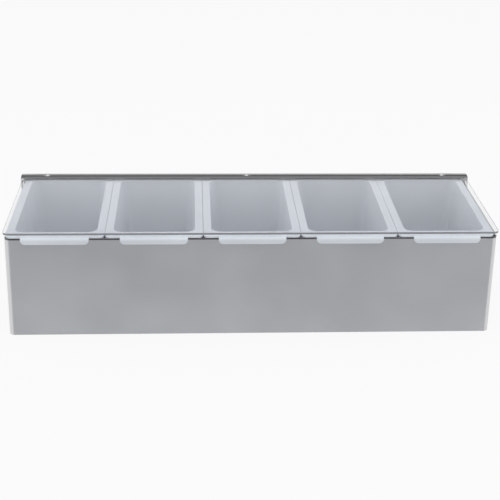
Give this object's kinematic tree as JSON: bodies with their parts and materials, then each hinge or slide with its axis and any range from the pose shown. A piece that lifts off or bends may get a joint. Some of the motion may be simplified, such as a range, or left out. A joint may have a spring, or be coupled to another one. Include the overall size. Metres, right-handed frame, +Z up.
{
  "type": "condiment caddy",
  "caption": "Stainless steel bar condiment caddy: a long open tray with a row of lift-out frosted bins under one clear flip lid hinged along the back.",
  "frame": {"origin": "middle of the tray's flat underside", "axes": "+X along the row of bins to the right, -Y to the front where the pull tabs are, +Z up"},
  "size_m": [0.4792, 0.1578, 0.11],
  "materials": {
    "brushed_steel": "satin stainless, grain along the length",
    "polished_steel": "polished stainless",
    "frosted_polypropylene": "natural moulded polypropylene, milky and translucent",
    "clear_acrylic": "clear sheet, polished",
    "white_nylon": "moulded nylon"
  },
  "bodies": {
    "tray": {"front_wrap": "brushed_steel", "back_panel": "brushed_steel", "base_pan": "brushed_steel", "pivot_pin_left": "polished_steel", "pivot_pin_right": "polished_steel", "pivot_spacer_left": "white_nylon", "pivot_spacer_right": "white_nylon", "pivot_clip_left": "polished_steel", "pivot_clip_right": "polished_steel"},
    "lid": {"lid_panel": "clear_acrylic", "hinge_rail": "polished_steel", "rail_rivets": "polished_steel", "rivet_washers": "polished_steel"},
    "insert_1": {"insert_1": "frosted_polypropylene"},
    "insert_2": {"insert_2": "frosted_polypropylene"},
    "insert_3": {"insert_3": "frosted_polypropylene"},
    "insert_4": {"insert_4": "frosted_polypropylene"},
    "insert_5": {"insert_5": "frosted_polypropylene"}
  },
  "joints": [
    {"name": "lid_hinge", "type": "hinge", "parent": "tray", "child": "lid", "pos_m": [0, 0.07, 0.098], "axis": [-1, 0, 0], "range_deg": [0, 100]},
    {"name": "insert_1_lift", "type": "slide", "parent": "tray", "child": "insert_1", "axis": [0, 0, 1], "range_m": [0, 0.00125]},
    {"name": "insert_2_lift", "type": "slide", "parent": "tray", "child": "insert_2", "axis": [0, 0, 1], "range_m": [0, 0.00125]},
    {"name": "insert_3_lift", "type": "slide", "parent": "tray", "child": "insert_3", "axis": [0, 0, 1], "range_m": [0, 0.00125]},
    {"name": "insert_4_lift", "type": "slide", "parent": "tray", "child": "insert_4", "axis": [0, 0, 1], "range_m": [0, 0.00125]},
    {"name": "insert_5_lift", "type": "slide", "parent": "tray", "child": "insert_5", "axis": [0, 0, 1], "range_m": [0, 0.00125]}
  ]
}
